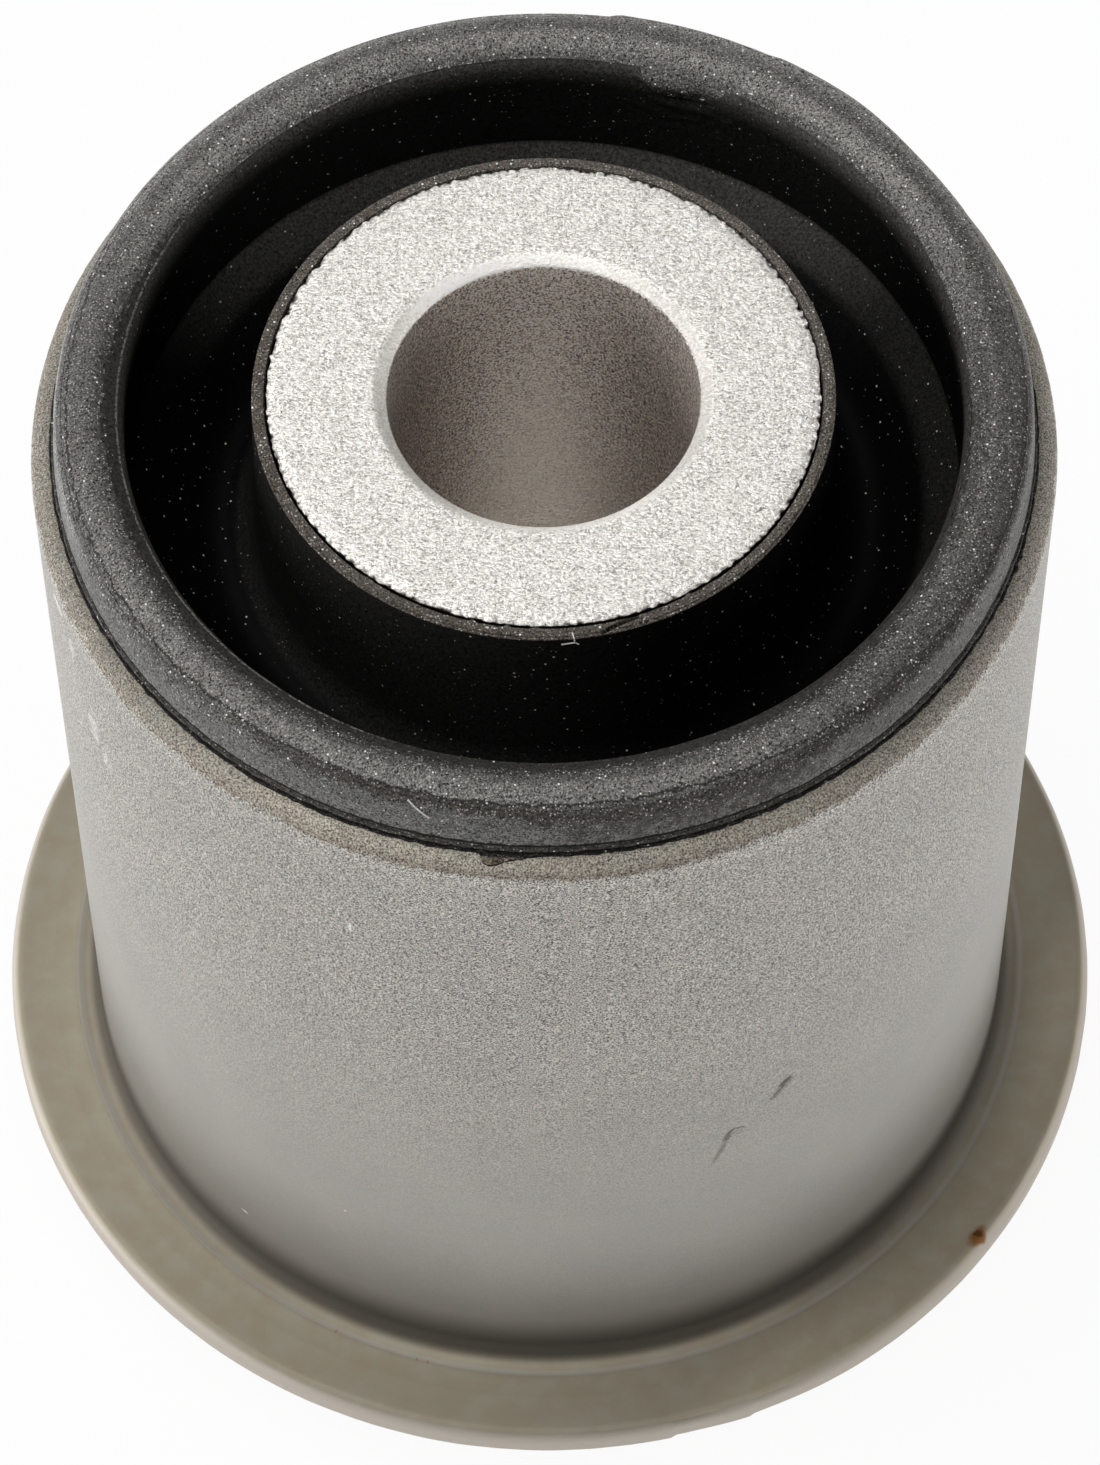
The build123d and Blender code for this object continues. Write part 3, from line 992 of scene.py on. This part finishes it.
    def fold(self, piece):
        """The fold at the back of the lip, where the rubber bulged and rolled over in the mould."""
        radius, angle, height = places(piece, "polygons")
        refine(piece, within(radius, 19.2, 20.6) & within(angle, 56.0, 83.0) & within(height, 52.0, 57.0), 3)
        radius, angle, height = places(piece)
        wall = within(radius, 19.2, 21.0) & (height > 50.5)
        along = np.radians(angle) * 19.6
        lobe = hump(angle, 71.6, 6.0) * ramp(height, 54.9, 55.5) * ramp(height, 57.0, 56.0)
        push(piece, wall * lobe, 0.30)
        push(piece, wall * stroke(along, height, CREASE), -0.17)
        push(piece, wall * hump(angle, 70.0, 8.5) * hump(height, 54.70, 0.55), 0.12)
        push(piece, wall * stroke(along, height, ROLLS), 0.09)
        region = hump(angle, 70.0, 15.0) * span(height, 51.5, 55.6, 0.6)
        push(piece, wall * region, 0.16, lumps=1.1)
        push(piece, wall * hump(angle, 61.2, 2.6) * hump(height, 56.4, 0.5), 0.08)

    def finish(self, piece, s):
        """Bloom on the bead, the coat's end and the fold's lobe, and moulded rubber in the grooves."""
        piece.data.materials.append(moulded_rubber(s))
        piece.data.materials.append(bloomed_rubber(s))
        radius, angle, height = places(piece, "polygons")
        half = np.abs(height - INNER_HIGH.z / 2 / MM)
        # The bloom's inner edge lies further out at the left and the front than at the right and the back,
        # which paints the bead's inner margin there with the darker moulded rubber as painted shade
        bare = np.interp(
            angle,
            (-180.0, -60.0, -30.0, 0.0, 140.0, 175.0, 180.0),
            (20.35, 20.35, 20.1, 19.78, 19.78, 20.3, 20.35),
        )
        bare += np.random.default_rng(7).normal(0.0, 0.09, len(angle)) * (bare > 19.8)
        crease = np.interp(
            angle,
            (62.0, 64.0, 66.5, 68.5, 71.0, 73.5, 75.0, 76.5),
            (57.0, 56.15, 55.78, 55.66, 55.58, 55.62, 55.95, 57.0),
        )
        lobe = within(radius, 19.2, 20.0) & (height > crease)
        select_faces(piece, ((radius > bare) & (half > 25.0)) | ((radius < 13.62) & (half > 27.98)) | lobe)
        piece.active_material_index = 1
        bpy.ops.object.material_slot_assign()
        bpy.ops.object.mode_set(mode="OBJECT")

    def execute(self, context):
        s = context.scene.bush_rubber
        outer = context.scene.bush_outer_sleeve
        bottom = OUTER_LOW.z
        bead_radius = outer.barrel_radius - s.bead_set_in
        section = self.end_section(s, outer, 4) + self.seat_section(s, outer)
        bend = (outer.barrel_radius + outer.bend_radius, bottom + outer.sheet + outer.bend_radius)
        section += arc(bend, outer.bend_radius + outer.sheet, 180, 270, 8)
        skirt_radius = bead_radius + s.skirt_width
        section += [(skirt_radius, bottom), (skirt_radius, bottom - s.flash), (bead_radius, bottom - s.flash)]
        section += [(r, INNER_HIGH.z - z) for r, z in reversed(self.end_section(s, outer, 2))]
        piece = turned("rubber_spring", section, 460)
        radius, angle, height = places(piece)
        right = ramp(angle, -88.0, -80.0) * ramp(angle, 140.0, 130.0)
        groove = hump(radius, 22.35, 0.10) * hump(height, 56.68, 0.10) * (height > 30.0)
        push(piece, groove * right, 0.045)
        back = ramp(angle, 81.5, 80.0) * ramp(angle, 34.0, 50.0)
        outside = ramp(radius, 21.6, 22.6) * (height > 54.45)
        push(piece, outside * back, 0.14)
        push(piece, outside * ramp(angle, 60.8, 59.6) * ramp(angle, 36.0, 52.0), 0.08)
        push(piece, (radius > 19.0) & (height > 54.5), 0.05, lumps=2.6)

        # The coat's broken end, with its notches and its crack
        rim = hump(radius, 12.98, 0.14) * (height > 56.0)
        push(piece, rim, -0.09, "Z", lumps=0.45)
        for middle in (-104.7, -97.7, -92.05, -60.2, -128.0):
            push(piece, rim * hump(angle, middle, 0.8), 0.13, "Y")
        radius, angle, height = places(piece, "polygons")
        refine(piece, (radius < 13.6) & (height > 56.4) & within(angle, -88.0, -68.0), 3)
        radius, angle, height = places(piece)
        push(piece, stroke(np.radians(angle) * 13.1, radius, CRACK) * (height > 56.4), -0.50, "Z")
        self.seam(piece)
        self.fold(piece)
        self.finish(piece, s)
        hand_in(piece, "rubber", "rubber_ring")
        return {"FINISHED"}


class BUSH_OT_inner_sleeve(bpy.types.Operator):
    """Turn the aluminium inner sleeve"""

    bl_idname = "bush.inner_sleeve"
    bl_label = "Inner sleeve"

    def execute(self, context):
        s = context.scene.bush_inner_sleeve
        radius, top = INNER_HIGH.x, INNER_HIGH.z
        corner = (s.bore_radius + s.countersink_width, top)
        foot = (s.bore_radius, top - s.countersink_depth)
        upper = [(s.bore_radius, top / 2)]
        upper += straight(upper[0], foot, 8)
        upper += rounded(upper[-1], foot, corner, 0.35 * MM, 4)
        upper += rounded(foot, corner, (radius, top), 0.55 * MM, 4)
        upper += straight(upper[-1], (s.turning_ridge - 0.3 * MM, top), 8)
        upper += [(s.turning_ridge + step * MM, top) for step in (-0.3, -0.12, -0.05, 0.0, 0.05, 0.2)]
        upper += [(radius - s.edge_width, top)]
        upper += straight(upper[-1], (radius, top - s.edge_depth), 3) + [(radius, top - s.edge_depth)]
        lower = [(r, top - z) for r, z in reversed(upper[1:])]
        piece = turned("bolt_sleeve", upper + lower, 600)
        distance, angle, height = places(piece)
        ridge = hump(distance, s.turning_ridge / MM, 0.07) * hump(angle, 88.0, 48.0)
        push(piece, (height > END_FACE - 0.3) * ridge, -0.014)
        edge = (distance > 12.75) & (np.abs(height - END_FACE / 2) > END_FACE / 2 - 0.35)
        push(piece, edge, -0.24, lumps=0.30, middle=0.13)
        piece.data.materials.append(blasted_aluminium(s))
        hand_in(piece, "inner_aluminium", "inner_sleeve")
        return {"FINISHED"}


class BUSH_OT_lint(bpy.types.Operator):
    """Lay the fibres that cling to the rubber"""

    bl_idname = "bush.lint"
    bl_label = "Lint"

    def execute(self, context):
        thick = context.scene.bush_rubber.fibre / 2
        long_one = (
            (22.50, -106.05, 56.67),
            (22.64, -105.4, 56.50),
            (22.73, -104.7, 56.33),
            (22.79, -104.0, 56.15),
            (22.80, -103.4, 56.00),
        )
        pieces = [thread("lint", [on_ring(*place) for place in long_one], thick)]
        middle, bend = (13.58, -84.5, 56.76), (13.57, -84.7, 57.12)
        for start, end in (
            (middle, bend),
            (bend, (13.28, -84.9, 57.15)),
            (middle, (13.58, -87.1, 56.68)),
            (middle, (13.60, -83.8, 56.62)),
        ):
            path = [on_ring(*(a + (b - a) * i / 4 for a, b in zip(start, end))) for i in range(5)]
            pieces.append(thread("lint_arm", path, thick * 0.8))
        deselect_all()
        for piece in pieces:
            piece.select_set(True)
        context.view_layer.objects.active = pieces[0]
        bpy.ops.object.join()
        pieces[0].data.materials.append(lint_fibre())
        hand_in(pieces[0], "rubber")
        return {"FINISHED"}


class BUSH_OT_stage(bpy.types.Operator):
    """Set the floor, the lamps, the room and the camera"""

    bl_idname = "bush.stage"
    bl_label = "Stage"

    def show_white(self, tree, output, lit, white, share):
        """White in reflections and, by this share, to the camera, and the lit shader to everything else."""
        ray = add(tree, "ShaderNodeLightPath")
        seen = add(tree, "ShaderNodeMath", {0: ray["Is Camera Ray"], 1: share}, operation="MULTIPLY")[0]
        glossy, through = ray["Is Glossy Ray"], ray["Is Transmission Ray"]
        shiny = add(tree, "ShaderNodeMath", {0: glossy, 1: through}, operation="MAXIMUM")[0]
        either = add(tree, "ShaderNodeMath", {0: seen, 1: shiny}, operation="MAXIMUM")[0]
        mixed = add(tree, "ShaderNodeMixShader", {0: either, 1: lit[0], 2: white[0]})[0]
        add(tree, output, {"Surface": mixed})

    def floor(self, s):
        """A wide pale floor that shows white, and still takes the bush's shadow."""
        deselect_all()
        bpy.ops.mesh.primitive_plane_add(size=8.0, location=(0.0, 0.0, 0.0))
        piece = bpy.context.object
        piece.name = "floor"
        material = bpy.data.materials.new("pale_floor")
        tree = empty_tree(material)
        paint = add(tree, "ShaderNodeBsdfDiffuse", {"Color": s.floor})
        self.show_white(tree, "ShaderNodeOutputMaterial", paint, add(tree, "ShaderNodeEmission"), 0.94)
        piece.data.materials.append(material)

    def room(self, s):
        """A white room, which lights the bush more softly than it shows."""
        bpy.context.scene.world = bpy.data.worlds.new("white_room")
        tree = empty_tree(bpy.context.scene.world)
        light = add(tree, "ShaderNodeBackground", {"Color": 1.0, "Strength": s.room_light})
        shown = add(tree, "ShaderNodeBackground", {"Color": 1.0, "Strength": 1.0})
        self.show_white(tree, "ShaderNodeOutputWorld", light, shown, 1.0)

    def lamps(self, s):
        """Flat lamps that face the bush, each as bright as a white wall times its level."""
        for name, place, width, height, brightness in (
            ("front", (0.06, -0.55, 0.90), 1.0, 0.5, s.front_level),
            ("overhead", (-0.20, -0.05, 1.00), 0.9, 0.5, s.overhead_level),
            ("rear", (-0.28, 0.50, 0.95), 1.0, 0.45, s.rear_level),
            ("key", (-0.75, 0.0, 0.85), 0.5, 0.9, s.key_level),
            ("left", (-1.2, 0.1, 0.42), 1.4, 0.7, s.left_level),
            ("right", (1.2, 0.1, 0.36), 1.4, 0.42, s.right_level),
            ("back", (0.0, 1.3, 0.42), 1.2, 0.6, s.back_level),
        ):
            deselect_all()
            bpy.ops.object.light_add(type="AREA", location=place)
            lamp = bpy.context.object
            lamp.name = name + "_softbox"
            lamp.rotation_mode = "QUATERNION"
            lamp.rotation_quaternion = (BUSH_MIDDLE - lamp.location).to_track_quat("-Z", "Y")
            lamp.data.shape = "RECTANGLE"
            lamp.data.size, lamp.data.size_y = width, height
            lamp.data.energy = math.pi * width * height * brightness
            lamp.visible_camera = False

    def screens(self):
        """Dark walls and a ceiling round the table, which the camera doesn't see."""
        deselect_all()
        bpy.ops.mesh.primitive_cylinder_add(
            vertices=72, radius=2.2, depth=1.9, end_fill_type="NGON", location=(0.0, 0.0, 0.97)
        )
        piece = bpy.context.object
        piece.name = "dark_screens"
        bpy.ops.object.transform_apply(location=True, rotation=True, scale=True)
        select_faces(piece, [face.normal.z < -0.5 for face in piece.data.polygons])
        bpy.ops.mesh.delete(type="FACE")
        bpy.ops.object.mode_set(mode="OBJECT")
        cloth = Finish("dark_cloth")
        cloth.base = 0.05
        piece.data.materials.append(cloth.finished({"Roughness": 1.0}))
        piece.visible_camera = False

    def camera(self, s):
        """The camera high in front, tilted down to the bush by its pitch, yaw and roll."""
        deselect_all()
        bpy.ops.object.camera_add(location=s.camera_place)
        camera = bpy.context.object
        camera.name = "camera"
        camera.rotation_mode = "QUATERNION"
        turn = Quaternion((0.0, 0.0, 1.0), s.camera_yaw) @ Quaternion((1.0, 0.0, 0.0), s.camera_pitch)
        camera.rotation_quaternion = turn @ Quaternion((0.0, 0.0, 1.0), s.camera_roll)
        camera.data.lens = s.focal_length
        camera.data.sensor_width = 36.0
        camera.data.clip_start = 0.01
        bpy.context.scene.camera = camera

    def execute(self, context):
        s = context.scene.bush_stage
        self.floor(s)
        self.room(s)
        self.lamps(s)
        self.screens()
        self.camera(s)
        context.scene.view_settings.view_transform = "Standard"
        return {"FINISHED"}


class BUSH_PT_panel(bpy.types.Panel):
    """The bush's pieces and their settings"""

    bl_idname = "BUSH_PT_panel"
    bl_label = "Rubber metal bush"
    bl_space_type = "VIEW_3D"
    bl_region_type = "UI"
    bl_category = "Bush"

    def draw(self, context):
        for operator in OPERATORS:
            box = self.layout.box()
            box.operator(operator.bl_idname)
            if operator in SETTINGS:
                name, group = SETTINGS[operator]
                for key in group.__annotations__:
                    box.prop(getattr(context.scene, name), key)


OPERATORS = (
    BUSH_OT_outer_sleeve,
    BUSH_OT_rubber_ring,
    BUSH_OT_inner_sleeve,
    BUSH_OT_lint,
    BUSH_OT_stage,
)

SETTINGS = {
    BUSH_OT_outer_sleeve: ("bush_outer_sleeve", OuterSleeveSettings),
    BUSH_OT_rubber_ring: ("bush_rubber", RubberSettings),
    BUSH_OT_inner_sleeve: ("bush_inner_sleeve", InnerSleeveSettings),
    BUSH_OT_stage: ("bush_stage", StageSettings),
}

CLASSES = (*(group for _, group in SETTINGS.values()), *OPERATORS, BUSH_PT_panel)


def register():
    for cls in CLASSES:
        bpy.utils.register_class(cls)
    for name, group in SETTINGS.values():
        setattr(bpy.types.Scene, name, bpy.props.PointerProperty(type=group))


def unregister():
    for name, _ in SETTINGS.values():
        delattr(bpy.types.Scene, name)
    for cls in reversed(CLASSES):
        bpy.utils.unregister_class(cls)


def main():
    register()
    bpy.ops.bush.outer_sleeve()
    bpy.ops.bush.rubber_ring()
    bpy.ops.bush.inner_sleeve()
    bpy.ops.bush.lint()
    bpy.ops.bush.stage()
    bpy.context.view_layer.update()


if __name__ == "__main__":
    main()
